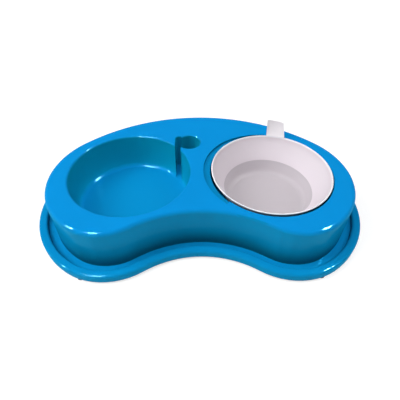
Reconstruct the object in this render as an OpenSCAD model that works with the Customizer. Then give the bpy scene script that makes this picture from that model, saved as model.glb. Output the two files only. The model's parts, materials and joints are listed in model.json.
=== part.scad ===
// Double pet bowl with a water moat round it.
// One moulded feeder with a water bowl, a bottle socket and a well,
// a thin food bowl that lifts out of the well, and four rubber feet.
// Millimetres, +Z up. The origin is on the ground under the middle of the outline.

/* [Food bowl] */
// Outside diameter of the food bowl's rim
food_d = 150; // [140:1:160]
// Height of the food bowl, from its foot ring to its rim
food_h = 53; // [47:0.5:55]
// Thickness of the food bowl's wall
food_wall = 1.6; // [1.2:0.1:2.2]
// Inside diameter of the edge between the bowl's flare and its basin
basin_d = 114; // [108:1:120]
// Depth of that edge below the rim
basin_drop = 30; // [26:0.5:34]
// Inside diameter of the basin's floor, before its corner is rounded
floor_d = 103; // [98:1:106]
// Inside radius of the basin's corner
basin_corner_r = 8; // [5:0.5:10]
// Outside diameter of the foot ring under the bowl
ring_d = 88; // [76:1:90]
// Height of the foot ring
ring_h = 1.5; // [1:0.1:2.5]

/* [Finger tab] */
// Width of the tab where it leaves the rim
tab_w = 25; // [20:1:34]
// Width of the tab at its top
tab_top_w = 22; // [16:0.5:26]
// Height of the tab above the rim, at its higher corner
tab_h = 26; // [16:1:34]
// How far the tab's top is set over towards the water bowl
tab_shift = 3.5; // [0:0.5:4]
// How much lower the tab's other top corner is
tab_fall = 2.7; // [0:0.1:3]
// Direction of the tab from the middle of the bowl
tab_angle = 76; // [60:1:120]
// Radius of the tab's two top corners
tab_corner_r = 1.5; // [0.5:0.1:3]
// How far each side of the tab stands out from the rim's
tab_step = 0.1; // [0.05:0.05:0.3]

/* [Wells] */
// Diameter of the water bowl, below the rounding of its edge
water_d = 150; // [142:1:158]
// Depth of the water bowl below the deck
water_depth = 50; // [42:0.5:52]
// Rounding of the deck into the water bowl
water_round_r = 2.5; // [1.5:0.25:4]
// Gap between the food bowl's rim and the wall of its well
well_gap = 1.5; // [1:0.1:3]
// How far the food bowl's rim stands above the deck
rim_proud = 1.5; // [0.5:0.1:3]
// Rounding of the deck into the food bowl's well
well_round_r = 1.5; // [1:0.25:3]
// Draft of the walls of both wells, from the vertical
well_draft = 3.5; // [2:0.25:5]
// Radius of the corner between the wells' walls and floors
well_corner_r = 6; // [3:0.5:9]
// Land between the water bowl and the food bowl's well
bridge_w = 25; // [22:1:34]

/* [Finger recess] */
// How far the recess reaches beyond the well's wall
recess_reach = 8.5; // [7:0.5:10]
// Depth of the recess below the deck
recess_drop = 3; // [2:0.25:4]
// How far the middle of the recess is moved towards the water bowl
recess_shift = 7; // [6.5:0.25:8]
// Direction of the recess's square end
recess_end = 224; // [210:1:235]

/* [Bottle socket] */
// Diameter of the bore that takes a bottle's neck
neck_d = 30.8; // [29:0.1:34]
// Chamfer round the top of the bore
neck_edge = 1; // [0.5:0.1:1.5]
// Land between the bore and the water bowl
neck_land = 5.4; // [4:0.2:8]
// Direction of the bore from the middle of the water bowl
neck_angle = 40; // [34:0.5:50]
// Width of the water passage, which runs forward from the bore's left side into the bowl
passage_w = 8.4; // [7:0.2:10]
// How far the passage cuts into the side of the bore
passage_bite = 4; // [2.6:0.2:4]
// How far the passage's closed end lies behind the middle of the bore
passage_back = 13; // [11:0.5:15]
// Radius of the passage's closed corner
passage_corner_r = 5; // [3:0.5:6]
// Height of the socket's floor above the water bowl's floor
socket_step = 0.5; // [0.5:0.25:3]

/* [Body] */
// Height of the moulding, from its bottom edge to the deck
body_h = 57; // [55:0.5:66]
// Thickness of the moulding's wall
wall = 2.5; // [2:0.1:3]
// Radius of the deck's outer edge
edge_r = 5; // [3.5:0.5:7]
// Deck beside the wells, at the two ends
side_margin = 22.5; // [16:0.5:28]
// How far the middle of the end arcs lies in front of the wells' middle
side_shift = 8.3; // [4:0.1:12]
// Radius of the two front lobes
lobe_r = 58; // [52:1:66]
// Direction in which the back arc turns into the end arc, above +X
back_turn = 44; // [38:1:48]
// Direction in which the end arc turns into the lobe, below +X
lobe_turn = 58; // [54:1:66]
// Direction in which the lobe turns into the waist, below +X
waist_turn = 123.5; // [121:0.5:126]
// How far the skirt spreads on its way down to the moat
skirt_spread = 1.5; // [1:0.25:4]

/* [Moat and lip] */
// Width of the moat's floor
moat_w = 9; // [7:0.5:14]
// Height of the lip above the moat's floor
lip_h = 7; // [5:0.5:10]
// Width of the lip
lip_w = 10.5; // [9.5:0.5:14]
// Rounding of the lip's two top edges
lip_r = 3.2; // [3.1:0.1:4]

/* [Ribs] */
// Thickness of the ribs under the deck
rib_t = 2; // [1.5:0.1:3]
// Depth of the ribs below the underside of the deck
rib_h = 16; // [10:1:24]
// Depth of the web between the two wells, below the deck
web_h = 38; // [24:1:44]

/* [Feet] */
// Diameter of each rubber foot
foot_d = 10.4; // [9:0.2:11]
// Height of each foot below the moulding
foot_h = 3; // [2:0.25:5]
// Radius of the foot's lower edge
foot_edge_r = 0.8; // [0.4:0.1:1.2]
// Diameter of the stem that each foot is pushed in by
stem_d = 3.6; // [2.8:0.1:4.2]
// Length of the stem
stem_l = 5; // [3:0.25:5.5]
// Clearance of the stem in its hole, all round
stem_clear = 0.1; // [0.05:0.05:0.3]
// Direction of the front feet from the middle of their lobe, below +X
front_foot_turn = 70; // [62:1:85]
// Direction of the back feet from the middle of the back arc
back_foot_turn = 62; // [58:1:74]

/* [Hidden] */
$fn = 96;
// Overrun of a cut past the face that it opens
over = 1;
// Gap under a piece that stands in another
seat_gap = 0.3;
// Directions of the ribs round each end, from +X
rib_turns = [-42, -4, 30];
// Straight steps in each arc of the outline, and in a quarter turn of a small rounding
back_steps = 24;
side_steps = 26;
lobe_steps = 11;
waist_steps = 10;
round_steps = 5;

// Heights above the ground
base_z = foot_h;
deck_z = base_z + body_h;
under_z = deck_z - wall;
moat_z = base_z + wall;
lip_z = moat_z + lip_h;
water_z = deck_z - water_depth;
rim_z = deck_z + rim_proud;
food_z = rim_z - food_h;
well_z = food_z - seat_gap;

// Wells, in plan
water_r = water_d / 2;
food_r = food_d / 2;
well_r = food_r + well_gap;
centre_x = (water_r + well_r + bridge_w) / 2;
recess_r = well_r + recess_reach - recess_shift;

// Bottle socket, from the middle of the water bowl. Its passage starts inside the bowl.
neck_r = neck_d / 2;
neck_c = (water_r + neck_land + neck_r) * along(neck_angle);
passage_from = 2 * well_corner_r;
socket_z = water_z + socket_step;

// Food bowl, in half section
floor_r = floor_d / 2;
basin_r = basin_d / 2;
ring_r = ring_d / 2;
food_floor_z = food_z + ring_h + food_wall;
basin_z = rim_z - basin_drop;
basin_lean = atan2(basin_r - floor_r, basin_z - food_floor_z);
basin_c = [floor_r - basin_corner_r * tan(45 - basin_lean / 2), food_floor_z + basin_corner_r];

// Outline of the deck: arcs that run into each other, mirrored about x = 0
side_r = well_r + side_margin;
side_c = [centre_x, -side_shift];
back_r = side_r + centre_x / cos(back_turn);
back_c = side_c - (back_r - side_r) * along(back_turn);
lobe_c = side_c + (side_r - lobe_r) * along(-lobe_turn);
waist_r = -lobe_c.x / cos(waist_turn) - lobe_r;
waist_c = lobe_c + (lobe_r + waist_r) * along(-waist_turn);

// Distances outward from the deck's edge
lip_in = skirt_spread + moat_w;
lip_out = lip_in + lip_w;
lip_mid = lip_in + lip_w / 2;

// The wells lie this far from the middle of the whole outline, which is at y = 0
back_y = back_c.y + back_r + lip_out;
front_y = lobe_c.y - lobe_r - lip_out;
wells_y = -(back_y + front_y) / 2;

// Unit vector in a direction
function along(turn) = [cos(turn), sin(turn)];

// Points of an arc, both ends included
function arc_points(centre, r, from, to, steps) =
  [for (i = [0:steps]) centre + r * along(from + (to - from) * i / steps)];

// The same without its first end, which belongs to the arc before it
function next_points(centre, r, from, to, steps) =
  [for (i = [1:steps]) centre + r * along(from + (to - from) * i / steps)];

// Right half of the outline, from the middle of the back to the middle of the waist
function half_outline(outward) = concat(
  arc_points(back_c, back_r + outward, 90, back_turn, back_steps),
  next_points(side_c, side_r + outward, back_turn, -lobe_turn, side_steps),
  next_points(lobe_c, lobe_r + outward, -lobe_turn, -waist_turn, lobe_steps),
  next_points(waist_c, waist_r - outward, 180 - waist_turn, 90, waist_steps));

// Whole outline, clockwise from the middle of the back
function outline(outward) =
  let (half = half_outline(outward), last = len(half) - 1)
  concat(half, [for (i = [1:last - 1]) [-half[last - i].x, half[last - i].y]]);

// Section through the edge of the moulding: deck edge, skirt, moat and hollow lip.
// x is the distance outward from the deck's edge, y is the height.
function edge_section() = concat(
  arc_points([-edge_r, deck_z - edge_r], edge_r, 90, 0, round_steps),
  [[skirt_spread, moat_z], [lip_in, moat_z]],
  arc_points([lip_in + lip_r, lip_z - lip_r], lip_r, 180, 90, round_steps),
  arc_points([lip_out - lip_r, lip_z - lip_r], lip_r, 90, 0, round_steps),
  [[lip_out, base_z], [lip_out - wall, base_z]],
  [[lip_out - wall, lip_z - lip_r], [lip_out - lip_r, lip_z - wall]],
  [[lip_in + lip_r, lip_z - wall], [lip_in + wall, lip_z - lip_r]],
  [[lip_in + wall, base_z], [skirt_spread - wall, base_z]],
  arc_points([-edge_r, deck_z - edge_r], edge_r - wall, 0, 90, 2));

// The deck with its edge, skirt, moat and lip, hollow below: the section swept once
// round the outline, closed by the deck's top and its underside
module shell() {
  section = edge_section();
  loops = [for (p = section) [for (q = outline(p.x)) [q.x, q.y, p.y]]];
  around = len(loops[0]);
  across = len(section);
  top_face = [for (j = [0:around - 1]) j];
  under_face = [for (j = [0:around - 1]) across * around - 1 - (j + around - 1) % around];
  polyhedron(
    points = [for (loop = loops) each loop],
    faces = concat([top_face, under_face],
      [for (i = [0:across - 2], j = [0:around - 1])
        let (j2 = (j + 1) % around)
        [i * around + j2, i * around + j, (i + 1) * around + j, (i + 1) * around + j2]]));
}

// Solid of revolution that fills a well: straight drafted wall, rounded corner,
// flared by a rounding where it meets the deck
module well_fill(r, bottom_z, corner_r, flare_r, top_z) {
  low_r = r - (deck_z - flare_r - bottom_z) * tan(well_draft);
  corner_in = corner_r * tan(45 - well_draft / 2);
  corner_c = [low_r - corner_in, bottom_z + corner_r];
  flare = flare_r > 0
    ? concat(arc_points([r + flare_r, deck_z - flare_r], flare_r, 180, 90, round_steps),
             [[r + flare_r, top_z]])
    : [[r, top_z]];
  rotate_extrude() polygon(concat(
    [[0, bottom_z]],
    arc_points(corner_c, corner_r, -90, -well_draft, round_steps),
    flare,
    [[0, top_z]]));
}

// The moulding round a well
module well_cup(r, bottom_z) {
  well_fill(r + wall, bottom_z - wall, well_corner_r + wall, 0, deck_z - wall / 2);
}

// Plan of the water passage, from the middle of the water bowl, grown all round by a wall
module passage_plan(grow) {
  right_x = neck_c.x - neck_r + passage_bite + grow;
  left_x = right_x - passage_w - 2 * grow;
  back_y = neck_c.y + passage_back + grow;
  corner_r = passage_corner_r + grow;
  polygon(concat(
    [[left_x, passage_from], [right_x, passage_from], [right_x, back_y]],
    arc_points([left_x + corner_r, back_y - corner_r], corner_r, 90, 180, round_steps)));
}

// Bottle socket with its passage, from the middle of the water bowl, grown by a wall
module socket(grow, low_z, high_z) {
  translate([0, 0, low_z]) {
    linear_extrude(high_z - low_z) passage_plan(grow);
    translate(neck_c) cylinder(r = neck_r + grow, h = high_z - low_z);
  }
}

// Gusset between a well and the skirt at one end of the body
module rib(turn) {
  inner = side_r - side_margin;
  translate(side_c) rotate([90, 0, turn]) translate([0, 0, -rib_t / 2]) linear_extrude(rib_t)
    polygon([[inner, under_z + wall / 2], [side_r - edge_r, under_z + wall / 2],
             [side_r - wall / 2, under_z - wall / 2], [side_r - wall / 2, under_z - rib_h],
             [inner, under_z - rib_h]]);
}

// Puts children where the right-hand feet are
module at_front_foot() {
  translate(lobe_c + (lobe_r + lip_mid) * along(-front_foot_turn)) children();
}

module at_back_foot() {
  translate(back_c + (back_r + lip_mid) * along(back_foot_turn)) children();
}

// Puts a shape on both sides of x = 0
module both_sides() {
  children();
  mirror([1, 0, 0]) children();
}

module foot_boss() {
  translate([0, 0, base_z]) cylinder(r = (lip_w - wall) / 2, h = lip_z - wall / 2 - base_z);
}

module stem_hole() {
  translate([0, 0, base_z - over])
    cylinder(r = stem_d / 2 + stem_clear, h = stem_l + stem_clear + over);
}

// Everything that the moulding is made of, before its wells are sunk
module moulding() {
  shell();
  translate([-centre_x, 0, 0]) {
    well_cup(water_r, water_z);
    socket(wall, socket_z - wall, deck_z - wall / 2);
  }
  translate([centre_x, 0, 0]) {
    well_cup(well_r, well_z);
    translate([-recess_shift, 0, under_z - recess_drop])
      cylinder(r = recess_r + wall, h = recess_drop + wall / 2);
  }
  translate([-centre_x, -rib_t / 2, deck_z - web_h])
    cube([2 * centre_x, rib_t, web_h - wall / 2]);
  both_sides() {
    for (turn = rib_turns) rib(turn);
    at_front_foot() foot_boss();
    at_back_foot() foot_boss();
  }
}

// What is cut away: both wells, the socket with its passage, the recess and the stems' holes
module hollows() {
  top_z = deck_z + over;
  translate([-centre_x, 0, 0]) {
    well_fill(water_r, water_z, well_corner_r, water_round_r, top_z);
    socket(0, socket_z, top_z);
    translate([neck_c.x, neck_c.y, deck_z - neck_edge])
      cylinder(r1 = neck_r, r2 = neck_r + neck_edge + over, h = neck_edge + over);
  }
  translate([centre_x, 0, 0]) {
    well_fill(well_r, well_z, well_corner_r, well_round_r, top_z);
    intersection() {
      translate([-recess_shift, 0, deck_z - recess_drop])
        cylinder(r = recess_r, h = recess_drop + over);
      rotate([0, 0, recess_end - 180]) translate([-2 * recess_r, 0, deck_z - recess_drop])
        cube([4 * recess_r, 2 * recess_r, recess_drop + over]);
    }
  }
  both_sides() {
    at_front_foot() stem_hole();
    at_back_foot() stem_hole();
  }
}

module feeder_body() {
  color("dodgerblue") translate([0, wells_y, 0]) difference() {
    moulding();
    hollows();
  }
}

// Half section of the food bowl: basin, flare and rounded rim
function food_section() = concat(
  [[0, food_floor_z]],
  arc_points(basin_c, basin_corner_r, -90, -basin_lean, round_steps),
  [[basin_r, basin_z]],
  arc_points([food_r - food_wall / 2, rim_z - food_wall / 2], food_wall / 2, 180, 0,
             2 * round_steps),
  [[basin_r + food_wall, basin_z - food_wall / 2]],
  arc_points(basin_c, basin_corner_r + food_wall, -basin_lean, -90, round_steps),
  [[0, food_floor_z - food_wall]]);

// The foot ring ends halfway through the basin's wall, wherever it meets it
module foot_ring() {
  half = food_wall / 2;
  difference() {
    rotate_extrude() translate([ring_r - food_wall, food_z])
      square([food_wall, basin_z - food_z]);
    rotate_extrude() polygon(concat(
      [[0, food_floor_z - half]],
      arc_points(basin_c, basin_corner_r + half, -90, -basin_lean, round_steps),
      [[basin_r + half, basin_z], [basin_r + half, rim_z], [0, rim_z]]));
  }
}

// The tab follows the rim's curve, leans over a little and narrows towards its rounded top
module finger_tab() {
  low_z = rim_z - food_wall;
  top_z = rim_z + tab_h;
  outer_r = food_r + tab_step;
  inner_r = food_r - food_wall - tab_step;
  corner_x = tab_top_w / 2 - tab_corner_r;
  corner_z = top_z - tab_corner_r;
  rotate([0, 0, tab_angle]) intersection() {
    translate([0, 0, low_z]) difference() {
      cylinder(r = outer_r, h = top_z - low_z);
      translate([0, 0, -over]) cylinder(r = inner_r, h = top_z - low_z + 2 * over);
    }
    rotate([90, 0, 90]) linear_extrude(2 * food_r)
      polygon(concat(
        [[-tab_w / 2, low_z], [tab_w / 2, low_z]],
        arc_points([tab_shift + corner_x, corner_z], tab_corner_r, 0, 90, round_steps),
        arc_points([tab_shift - corner_x, corner_z - tab_fall], tab_corner_r, 90, 180,
                   round_steps)));
  }
}

module food_bowl() {
  color("white") translate([centre_x, wells_y, 0]) {
    rotate_extrude() polygon(food_section());
    foot_ring();
    finger_tab();
  }
}

module rubber_foot() {
  edge_c = [foot_d / 2 - foot_edge_r, foot_edge_r];
  color("dimgray") rotate_extrude() polygon(concat(
    [[0, 0]],
    arc_points(edge_c, foot_edge_r, -90, 0, round_steps),
    [[foot_d / 2, base_z], [stem_d / 2, base_z], [stem_d / 2, base_z + stem_l],
     [0, base_z + stem_l]]));
}

module foot_front_right() {
  translate([0, wells_y, 0]) at_front_foot() rubber_foot();
}

module foot_front_left() {
  translate([0, wells_y, 0]) mirror([1, 0, 0]) at_front_foot() rubber_foot();
}

module foot_back_right() {
  translate([0, wells_y, 0]) at_back_foot() rubber_foot();
}

module foot_back_left() {
  translate([0, wells_y, 0]) mirror([1, 0, 0]) at_back_foot() rubber_foot();
}

feeder_body();
food_bowl();
foot_front_left();
foot_front_right();
foot_back_left();
foot_back_right();
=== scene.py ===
"""Double pet bowl: materials, floor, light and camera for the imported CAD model.

Blender 4.5. Everything is in metres, in the frame of the CAD model: +Z up, the origin on the
ground under the middle of the outline, the water bowl at -X and the tab at +Y.
"""
import json
import math

import bmesh
import bpy
from mathutils import Matrix, Vector


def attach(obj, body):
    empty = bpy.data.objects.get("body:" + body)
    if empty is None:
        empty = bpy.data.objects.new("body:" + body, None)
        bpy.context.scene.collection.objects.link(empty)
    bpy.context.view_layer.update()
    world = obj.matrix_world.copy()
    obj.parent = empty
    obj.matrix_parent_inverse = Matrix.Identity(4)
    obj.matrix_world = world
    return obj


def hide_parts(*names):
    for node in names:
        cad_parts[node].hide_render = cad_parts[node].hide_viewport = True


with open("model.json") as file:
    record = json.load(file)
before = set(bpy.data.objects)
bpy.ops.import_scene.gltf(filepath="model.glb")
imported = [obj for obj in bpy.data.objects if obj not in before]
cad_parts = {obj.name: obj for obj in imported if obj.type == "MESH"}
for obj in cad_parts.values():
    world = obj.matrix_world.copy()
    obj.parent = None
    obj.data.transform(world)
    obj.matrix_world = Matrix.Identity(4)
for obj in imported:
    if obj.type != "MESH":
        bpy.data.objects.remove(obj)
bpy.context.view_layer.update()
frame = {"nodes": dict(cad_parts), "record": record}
scene = bpy.context.scene

# The photograph's camera, from a fit to the rims and outlines
LENS = 28.68
FILM_WIDTH = 36.0
CAMERA_AT = Vector((-0.0064, -0.3179, 0.3186))
PITCH = math.radians(45.60)
ROLL = math.radians(0.52)
YAW = math.radians(-1.11)
VIEW_END = 50.0

# How the CAD's facets are shaded: the distance at which corners are welded, the sharpest turn that
# still blends, and the most tilt and the least area of a flat face, which keeps its own normal
WELD = 1e-6
CREASE = math.radians(35)
FLAT_TILT = math.radians(0.2)
FLAT_AREA = 3e-4

# The blue of the moulding's tops; the painted shade of the low tops, the upright sides, the walls inside
# the water bowl and the socket, which carry painted light too, the moat's corner and the finger recess;
# and the blue by which its faces light each other, outside and inside the water bowl and the socket
TOP_BLUE = (0.0032, 0.257, 0.640)
LOW_SHADE_BLUE = (0.0024, 0.262, 0.580)
SIDE_SHADE_BLUE = (0.0022, 0.266, 0.530)
INNER_SHADING_BLUE = (0.0020, 0.325, 0.525)
CORNER_SHADE_BLUE = (0.0015, 0.125, 0.195)
RECESS_SHADE_BLUE = (0.0024, 0.225, 0.500)
OUTER_BOUNCE = (0.0009, 0.100, 0.220)
INNER_BOUNCE = (0.0020, 0.280, 0.400)

# The white of each place on the food bowl, with painted light on the rim, the basin's walls and the
# tab, and how much the tab's painted glow is and how far it leans back in the light
BOWL_WHITE = (0.785, 0.725, 0.775)
RIM_HIGHLIGHT_WHITE = (0.93, 0.93, 0.97)
BASIN_GREY = (0.49, 0.455, 0.485)
BASIN_WALL_LIT = (0.61, 0.57, 0.605)
TAB_LIT_WHITE = (0.97, 0.92, 0.97)
TAB_PAINTED_GLOW = 0.15
TAB_LEAN = 1.6

# How much lighter the flow marks of a moulding are
BLUE_DRIFT = 1.06
WHITE_DRIFT = 1.03

# The finish of each plastic: its least and most roughness, the strength of the orange peel, and the
# share and tint of its gloss
BLUE_FINISH = {"rough": (0.04, 0.06), "peel": 0.02, "gloss": 0.4, "tint": (0.20, 0.75, 1.0)}
WHITE_FINISH = {"rough": (0.42, 0.50), "peel": 0.05, "gloss": 0.08, "tint": (1.0, 1.0, 1.0)}
PLASTIC_IOR = 1.48
PEEL_DEPTH = 0.0002

# The feet's rubber, bare and dusty
RUBBER_BARE = (0.012, 0.013, 0.015)
RUBBER_DUSTY = (0.035, 0.037, 0.04)
RUBBER_ROUGH = 0.75
DUST_DEPTH = 0.0001

# How many clouds or grains of each noise there are in a metre
MOTTLE_SCALE = 3.0
FLOW_SCALE = 9.0
SCUFF_SCALE = 60.0
PEEL_SCALE = 420.0
DUST_SCALE = 900.0

# The part of a noise's values that becomes a soft mask or one with more contrast
NOISE_SOFT = (0.3, 0.7)
NOISE_CLEAR = (0.35, 0.65)

# Places in the part's frame: the axes of the water bowl, the bottle socket and the food bowl, and how
# far the blue inside, the finger recess and the basin reach from them
WATER_AT, WATER_R = (-0.08825, -0.01354), 0.078
SOCKET_AT, SOCKET_R = (-0.01411, 0.04649), 0.030
FOOD_AT, RECESS_R, BASIN_R = (0.08825, -0.01354), 0.0875, 0.0571

# Heights: just above the moat's lip, just under the deck, the food bowl's rim and the foot of its tab
LIP_TOP = 0.0135
RECESS_TOP = 0.0585
RIM_BAND = (0.0595, 0.0605)
TAB_BAND = (0.0615, 0.0635)

# The upward part of the normal, from an upright face to a level one, for the painted shade on the moulding
# and the painted light in the basin
SIDE_TO_TOP = (0.1, 0.9)
WALL_TO_FLOOR = (0.2, 0.9)

# The painted shade in the moat's corner: how far it is felt, and the open share of the view where it is
# deepest and where it ends
CORNER_REACH = 0.035
CORNER_OPEN = (0.40, 0.95)

# The floor: how far it reaches from its middle, its least and most shade for the light that it
# throws back and for the eye, and the glow that the eye adds, which grows between two distances
FLOOR_REACH = 12.0
FLOOR_LIGHTING = (0.88, 0.90)
FLOOR_SEEN = (0.44, 0.46)
FLOOR_GLOW = (0.66, 1.0)
FLOOR_FAR = (0.5, 2.5)

# The room, and the backdrop that a gloss shows: the sines of the two heights between which the
# light changes, and the light at each
ROOM_RISE = (0.3, 0.9)
ROOM_LIGHT = (0.06, 0.45)
BACKDROP_RISE = (0.15, 0.40)
BACKDROP_LIGHT = (1.0, 0.12)

# The lamps: what they look at, from how far, and for each its azimuth from +X and its elevation in
# degrees, its width, its height and its power in watts
LAMP_TARGET = Vector((0, 0, 0.05))
LAMP_DISTANCE = 1.5
SOFTBOXES = (
    ("softbox_top", -150, 75, 1.3, 1.3, 10),
    ("softbox_left", -173, 42, 0.8, 0.8, 12),
    ("softbox_right", -5, 46, 0.8, 0.8, 4.5),
)
GLINTS = (
    ("glint_top", -152, 64, 0.50, 0.26, 90),
    ("glint_left", -173, 40, 0.17, 0.17, 25),
    ("glint_right", 5, 50, 0.24, 0.24, 125),
)

# Blender's numbers for the colour sockets of a Mix node, which share their names with others
MIX_A, MIX_B, MIX_RESULT = 6, 7, 2

# The angle that a face without a direction counts as having: more than any other
NO_ANGLE = 9.0


def region_areas(bm):
    """The area of the flat region that each face lies in, by the face's index."""
    area = {}
    for start in bm.faces:
        if start.index in area:
            continue
        region, todo = {start.index}, [start]
        size = 0.0
        while todo:
            face = todo.pop()
            size += face.calc_area()
            for edge in face.edges:
                for near in edge.link_faces:
                    if near.index not in region and near.normal.angle(start.normal, NO_ANGLE) < FLAT_TILT:
                        region.add(near.index)
                        todo.append(near)
        for index in region:
            area[index] = size
    return area


def shading_normals(bm):
    """Corner normals that keep wide flat faces flat and blend the facets of the curves between them."""
    area = region_areas(bm)
    normals = {}
    for vert in bm.verts:
        left = set(vert.link_faces)
        while left:
            # A fan is the faces round the corner that follow each other without a crease
            fan, todo = [], [left.pop()]
            while todo:
                face = todo.pop()
                fan.append(face)
                for edge in face.edges:
                    if vert not in edge.verts:
                        continue
                    for near in edge.link_faces:
                        if near in left and near.normal.angle(face.normal, NO_ANGLE) < CREASE:
                            left.discard(near)
                            todo.append(near)
            widest = max(fan, key=lambda face: area[face.index])
            if area[widest.index] > FLAT_AREA:
                normal = widest.normal.copy()
            else:
                normal = Vector()
                for face in fan:
                    corner = next(loop for loop in face.loops if loop.vert == vert)
                    normal += face.normal * corner.calc_angle()
            for face in fan:
                normals[face.index, vert.index] = normal.normalized()
    return [normals[face.index, loop.vert.index] for face in bm.faces for loop in face.loops]


body_of = {node: body for body, held in frame["record"]["behaviour"]["bodies"].items() for node in held}


def smooth_copy(node):
    """A welded, smooth-shaded copy of a CAD node that stands for it in the render."""
    mesh = frame["nodes"][node].data.copy()
    mesh.name = node + "_skin"
    bm = bmesh.new()
    bm.from_mesh(mesh)
    bmesh.ops.remove_doubles(bm, verts=bm.verts, dist=WELD)
    bmesh.ops.dissolve_degenerate(bm, edges=bm.edges, dist=WELD)
    for part in (bm.verts, bm.edges, bm.faces):
        part.index_update()
    bm.normal_update()
    normals = shading_normals(bm)
    bm.to_mesh(mesh)
    bm.free()
    mesh.shade_smooth()
    mesh.normals_split_custom_set(normals)
    obj = bpy.data.objects.new(node + "_skin", mesh)
    scene.collection.objects.link(obj)
    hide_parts(node)
    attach(obj, body_of[node])
    return obj


class Nodes:
    """The emptied node tree of a material or a world, with what adds nodes to it."""

    def __init__(self, owner, output):
        owner.use_nodes = True
        self.owner = owner
        self.tree = owner.node_tree
        self.tree.nodes.clear()
        self.output = self.tree.nodes.new(output)

    def feed(self, socket, value):
        """Links the output of a node to a socket, or sets any other value on it."""
        if isinstance(value, bpy.types.NodeSocket):
            self.tree.links.new(value, socket)
        else:
            socket.default_value = value

    def add(self, kind, **settings):
        """A new node: in_Base_Color=value feeds its input Base Color, and the rest are its settings."""
        node = self.tree.nodes.new(kind)
        for key, value in settings.items():
            if key.startswith("in_"):
                self.feed(node.inputs[key.removeprefix("in_").replace("_", " ")], value)
            else:
                setattr(node, key, value)
        return node

    def add_over(self, kind, values, **settings):
        """A new node whose inputs are fed with values in their order."""
        node = self.add(kind, **settings)
        for socket, value in zip(node.inputs, values):
            self.feed(socket, value)
        return node

    def end_in(self, shader):
        """The finished material or world, with this shader as its surface."""
        self.feed(self.output.inputs["Surface"], shader)
        return self.owner


def new_material(name):
    """The nodes of a new, empty material."""
    return Nodes(bpy.data.materials.new(name), "ShaderNodeOutputMaterial")


def number_math(nodes, way, *values):
    """The number that a Math node works out."""
    return nodes.add_over("ShaderNodeMath", values, operation=way).outputs["Value"]


def vector_math(nodes, way, *values):
    """The outputs of a Vector Math node: Vector, or Value for a length."""
    return nodes.add_over("ShaderNodeVectorMath", values, operation=way).outputs


def axes_of(nodes, vector):
    """The X, Y and Z outputs of a vector."""
    return nodes.add("ShaderNodeSeparateXYZ", in_Vector=vector).outputs


def spread_over(nodes, value, from_range, to_range=(0.0, 1.0)):
    """A value mapped from one range to another, and held at its ends."""
    limits = dict(zip(("in_From_Min", "in_From_Max", "in_To_Min", "in_To_Max"), (*from_range, *to_range)))
    return nodes.add("ShaderNodeMapRange", in_Value=value, **limits).outputs["Result"]


def noise(nodes, place, scale, detail, roughness=0.5):
    """Clouds that stay where they are on the surface, from 0 to 1."""
    clouds = nodes.add("ShaderNodeTexNoise", in_Scale=scale, in_Detail=detail, in_Roughness=roughness)
    nodes.feed(clouds.inputs["Vector"], place.outputs["Object"])
    return clouds.outputs["Fac"]


def within(nodes, place, at, reach):
    """1 inside an upright cylinder about an axis, and 0 outside it."""
    flat = vector_math(nodes, "MULTIPLY_ADD", place.outputs["Object"], (1, 1, 0), (-at[0], -at[1], 0))
    away = vector_math(nodes, "LENGTH", flat["Vector"])
    return number_math(nodes, "LESS_THAN", away["Value"], reach)


def ray_kinds(nodes, *kinds):
    """1 for rays of these kinds, such as camera rays, and 0 for the others."""
    path = nodes.add("ShaderNodeLightPath")
    found = path.outputs["Is " + kinds[0] + " Ray"]
    for kind in kinds[1:]:
        found = number_math(nodes, "MAXIMUM", found, path.outputs["Is " + kind + " Ray"])
    return found


def blend(nodes, factor, a, b):
    """Colour a where the factor is 0 and colour b where it is 1."""
    node = nodes.add("ShaderNodeMix", data_type="RGBA", in_Factor=factor)
    for index, colour in ((MIX_A, a), (MIX_B, b)):
        nodes.feed(node.inputs[index], (*colour, 1) if isinstance(colour, tuple) else colour)
    return node.outputs[MIX_RESULT]


def blend_shaders(nodes, factor, a, b):
    """Shader a where the factor is 0 and shader b where it is 1."""
    return nodes.add_over("ShaderNodeMixShader", (factor, a, b)).outputs["Shader"]


def flow_marks(nodes, place):
    """0 to 1, in slow clouds, for the drift of colour in a moulding."""
    return spread_over(nodes, noise(nodes, place, FLOW_SCALE, detail=3.0), NOISE_CLEAR)


def drifting(nodes, marks, colour, lighter):
    """A colour that drifts, where the marks are, to one that is lighter by a factor."""
    return blend(nodes, marks, colour, tuple(lighter * part for part in colour))


def moulded_surface(nodes, place, colour, rough, peel, gloss, tint, normal=None, glow=None):
    """Injection-moulded plastic under a tinted gloss that is uneven, with a faint orange peel."""
    scuff = noise(nodes, place, SCUFF_SCALE, detail=6.0, roughness=0.6)
    roughness = spread_over(nodes, scuff, NOISE_SOFT, rough)
    relief = nodes.add("ShaderNodeBump", in_Strength=peel, in_Distance=PEEL_DEPTH)
    nodes.feed(relief.inputs["Height"], noise(nodes, place, PEEL_SCALE, detail=2.0))
    if normal:
        nodes.feed(relief.inputs["Normal"], normal)
    skin = {"in_Roughness": roughness, "in_Normal": relief.outputs["Normal"]}
    body = nodes.add("ShaderNodeBsdfPrincipled", in_Specular_IOR_Level=0.0, in_Base_Color=colour, **skin)
    if glow:
        nodes.feed(body.inputs["Emission Color"], colour)
        nodes.feed(body.inputs["Emission Strength"], glow)
    shine = nodes.add("ShaderNodeBsdfGlossy", in_Color=(*tint, 1), **skin)
    fresnel = nodes.add("ShaderNodeFresnel", in_IOR=PLASTIC_IOR, in_Normal=relief.outputs["Normal"])
    share = number_math(nodes, "MULTIPLY", fresnel.outputs["Fac"], gloss)
    return blend_shaders(nodes, share, body.outputs["BSDF"], shine.outputs["BSDF"])


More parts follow.
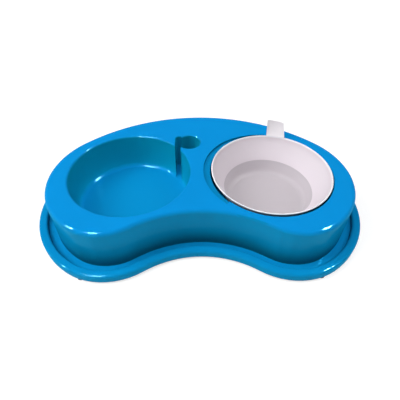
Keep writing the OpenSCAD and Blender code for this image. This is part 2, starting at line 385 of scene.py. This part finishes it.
def blue_plastic(name):
    """The moulding's blue with painted shade: deeper and greener on upright sides, deepest in the moat's
    corner.
    """
    nodes = new_material(name)
    place = nodes.add("ShaderNodeTexCoord")
    height = axes_of(nodes, place.outputs["Object"])["Z"]
    up = axes_of(nodes, place.outputs["Normal"])["Z"]
    marks = flow_marks(nodes, place)
    in_water = within(nodes, place, WATER_AT, WATER_R)
    in_socket = within(nodes, place, SOCKET_AT, SOCKET_R)
    inside = number_math(nodes, "MAXIMUM", in_water, in_socket)
    # Painted shade darkens the moat's corner, where the body itself closes off much of the view, outside the
    # bowls
    view = nodes.add("ShaderNodeAmbientOcclusion", samples=4, only_local=True, in_Distance=CORNER_REACH)
    corner = spread_over(nodes, view.outputs["AO"], CORNER_OPEN)
    shaded_walls = blend(nodes, corner, CORNER_SHADE_BLUE, drifting(nodes, marks, SIDE_SHADE_BLUE, BLUE_DRIFT))
    # Painted light and shade: the walls inside the water bowl and the socket take a greener tone of their own
    shaded_walls = blend(nodes, inside, shaded_walls, INNER_SHADING_BLUE)
    # Painted shade: the finger recess under the deck is darker
    sunk = number_math(nodes, "LESS_THAN", height, RECESS_TOP)
    shaded_recess = number_math(nodes, "MINIMUM", within(nodes, place, FOOD_AT, RECESS_R), sunk)
    tops = blend(nodes, shaded_recess, drifting(nodes, marks, TOP_BLUE, BLUE_DRIFT), RECESS_SHADE_BLUE)
    # Painted shade: the tops under the lip's top, such as the moat and the bowl's floor, are darker
    tops = blend(nodes, number_math(nodes, "LESS_THAN", height, LIP_TOP), tops, LOW_SHADE_BLUE)
    # Painted shade: upright faces take the deeper, greener side blue and level ones the tops' blue
    colour = blend(nodes, spread_over(nodes, up, SIDE_TO_TOP), shaded_walls, tops)
    # One blue face lights the next only weakly, so that the shaded sides stay deep
    bounce = blend(nodes, inside, OUTER_BOUNCE, INNER_BOUNCE)
    colour = blend(nodes, ray_kinds(nodes, "Diffuse"), colour, bounce)
    return nodes.end_in(moulded_surface(nodes, place, colour, **BLUE_FINISH))


def white_plastic(name):
    """The food bowl's white: a greyer basin, and painted light on its walls, on the rim and on a paler,
    glowing tab.
    """
    nodes = new_material(name)
    place = nodes.add("ShaderNodeTexCoord")
    height = axes_of(nodes, place.outputs["Object"])["Z"]
    up = axes_of(nodes, place.outputs["Normal"])["Z"]
    colour = drifting(nodes, flow_marks(nodes, place), BOWL_WHITE, WHITE_DRIFT)
    # The basin is inside the edge where the bowl's flare ends, on the faces that look up
    upward = number_math(nodes, "GREATER_THAN", up, 0.0)
    basin = number_math(nodes, "MINIMUM", within(nodes, place, FOOD_AT, BASIN_R), upward)
    # Painted light: the basin's upright walls are lighter than its floor
    wall_or_floor = blend(nodes, spread_over(nodes, up, WALL_TO_FLOOR), BASIN_WALL_LIT, BASIN_GREY)
    colour = blend(nodes, basin, colour, wall_or_floor)
    # Painted highlight: a lighter band at the height of the rim
    colour = blend(nodes, spread_over(nodes, height, RIM_BAND), colour, RIM_HIGHLIGHT_WHITE)
    # Painted light: the paler tab and its glow stand for the light that passes through the thin tab, which is
    # lit as if it leaned back
    tab = spread_over(nodes, height, TAB_BAND)
    colour = blend(nodes, tab, colour, TAB_LIT_WHITE)
    glow = number_math(nodes, "MULTIPLY", tab, TAB_PAINTED_GLOW)
    lean = nodes.add("ShaderNodeCombineXYZ", in_Z=number_math(nodes, "MULTIPLY", tab, TAB_LEAN))
    face = nodes.add("ShaderNodeNewGeometry")
    leaning = vector_math(nodes, "ADD", face.outputs["Normal"], lean.outputs["Vector"])
    normal = vector_math(nodes, "NORMALIZE", leaning["Vector"])["Vector"]
    return nodes.end_in(moulded_surface(nodes, place, colour, normal=normal, glow=glow, **WHITE_FINISH))


def rubber(name):
    """The feet's matt rubber, with the colour and the grain of fine dust."""
    nodes = new_material(name)
    place = nodes.add("ShaderNodeTexCoord")
    dust = noise(nodes, place, DUST_SCALE, detail=4.0)
    relief = nodes.add("ShaderNodeBump", in_Strength=0.3, in_Distance=DUST_DEPTH, in_Height=dust)
    shader = nodes.add("ShaderNodeBsdfPrincipled", in_Roughness=RUBBER_ROUGH)
    nodes.feed(shader.inputs["Base Color"], blend(nodes, dust, RUBBER_BARE, RUBBER_DUSTY))
    nodes.feed(shader.inputs["Normal"], relief.outputs["Normal"])
    return nodes.end_in(shader.outputs["BSDF"])


def pale_floor(name):
    """A white table. To the eye, part of its white doesn't depend on the lamps, so it stays white far out."""
    nodes = new_material(name)
    place = nodes.add("ShaderNodeTexCoord")
    mottle = noise(nodes, place, MOTTLE_SCALE, detail=2.0)
    shades = []
    for low, high in (FLOOR_LIGHTING, FLOOR_SEEN):
        shade = nodes.add("ShaderNodeBsdfDiffuse", in_Color=blend(nodes, mottle, (low,) * 3, (high,) * 3))
        shades.append(shade.outputs["BSDF"])
    lighting, seen = shades
    away = vector_math(nodes, "LENGTH", place.outputs["Object"])["Value"]
    glow = nodes.add("ShaderNodeEmission", in_Strength=spread_over(nodes, away, FLOOR_FAR, FLOOR_GLOW))
    glowing = nodes.add_over("ShaderNodeAddShader", (seen, glow.outputs["Emission"])).outputs["Shader"]
    eye = ray_kinds(nodes, "Camera", "Glossy", "Transmission")
    return nodes.end_in(blend_shaders(nodes, eye, lighting, glowing))


def studio(name):
    """A room whose light fades towards the ground.

    To the eye it is all white, and a gloss shows it as a white backdrop under a dark ceiling.
    """
    nodes = Nodes(bpy.data.worlds.new(name), "ShaderNodeOutputWorld")
    place = nodes.add("ShaderNodeTexCoord")
    rise = axes_of(nodes, place.outputs["Generated"])["Z"]
    rooms = []
    for strength in (
        spread_over(nodes, rise, ROOM_RISE, ROOM_LIGHT),
        spread_over(nodes, rise, BACKDROP_RISE, BACKDROP_LIGHT),
        1.0,
    ):
        room = nodes.add("ShaderNodeBackground", in_Color=(1, 1, 1, 1), in_Strength=strength)
        rooms.append(room.outputs["Background"])
    lighting, mirrored, seen = rooms
    shader = blend_shaders(nodes, ray_kinds(nodes, "Glossy", "Transmission"), lighting, mirrored)
    return nodes.end_in(blend_shaders(nodes, ray_kinds(nodes, "Camera"), shader, seen))


blue = blue_plastic("blue_plastic")
white = white_plastic("white_plastic")
black = rubber("foot_rubber")

# The smooth copies of the CAD nodes, each with its material and slot
for node, material in (
    ("feeder_body", blue),
    ("food_bowl", white),
    ("foot_front_left", black),
    ("foot_front_right", black),
    ("foot_back_left", black),
    ("foot_back_right", black),
):
    obj = smooth_copy(node)
    obj.data.materials.clear()
    obj.data.materials.append(material)

# The floor and the room
bm = bmesh.new()
bmesh.ops.create_grid(bm, x_segments=2, y_segments=2, size=FLOOR_REACH)
floor_mesh = bpy.data.meshes.new("floor")
bm.to_mesh(floor_mesh)
bm.free()
floor = bpy.data.objects.new("floor", floor_mesh)
floor.data.materials.append(pale_floor("pale_floor"))
scene.collection.objects.link(floor)
scene.world = studio("studio")


def lamp(name, azimuth, elevation, width, height, power):
    """An area lamp that looks at the middle of the part from a direction in degrees."""
    data = bpy.data.lights.new(name, "AREA")
    data.shape = "RECTANGLE"
    data.size = width
    data.size_y = height
    data.energy = power
    obj = bpy.data.objects.new(name, data)
    turn, rise = math.radians(azimuth), math.radians(elevation)
    away = Vector((math.cos(rise) * math.cos(turn), math.cos(rise) * math.sin(turn), math.sin(rise)))
    obj.location = away * LAMP_DISTANCE + LAMP_TARGET
    obj.rotation_euler = away.to_track_quat("Z", "Y").to_euler()
    scene.collection.objects.link(obj)
    return obj


for softbox in SOFTBOXES:
    lamp(*softbox).visible_glossy = False

# The bright middles of the softboxes, which only draw the photograph's highlights
for glint in GLINTS:
    lamp(*glint).visible_diffuse = False

# The camera
right = Vector((math.cos(YAW), math.sin(YAW), 0))
ahead = Vector((-math.sin(YAW) * math.cos(PITCH), math.cos(YAW) * math.cos(PITCH), -math.sin(PITCH)))
up = right.cross(ahead)
tilted_right = math.cos(ROLL) * right + math.sin(ROLL) * up
tilted_up = math.cos(ROLL) * up - math.sin(ROLL) * right
camera_data = bpy.data.cameras.new("camera")
camera_data.lens = LENS
camera_data.sensor_width = FILM_WIDTH
camera_data.clip_end = VIEW_END
camera = bpy.data.objects.new("camera", camera_data)
camera.matrix_world = Matrix((
    (tilted_right.x, tilted_up.x, -ahead.x, CAMERA_AT.x),
    (tilted_right.y, tilted_up.y, -ahead.y, CAMERA_AT.y),
    (tilted_right.z, tilted_up.z, -ahead.z, CAMERA_AT.z),
    (0, 0, 0, 1),
))
scene.collection.objects.link(camera)
scene.camera = camera
scene.view_settings.view_transform = "Standard"
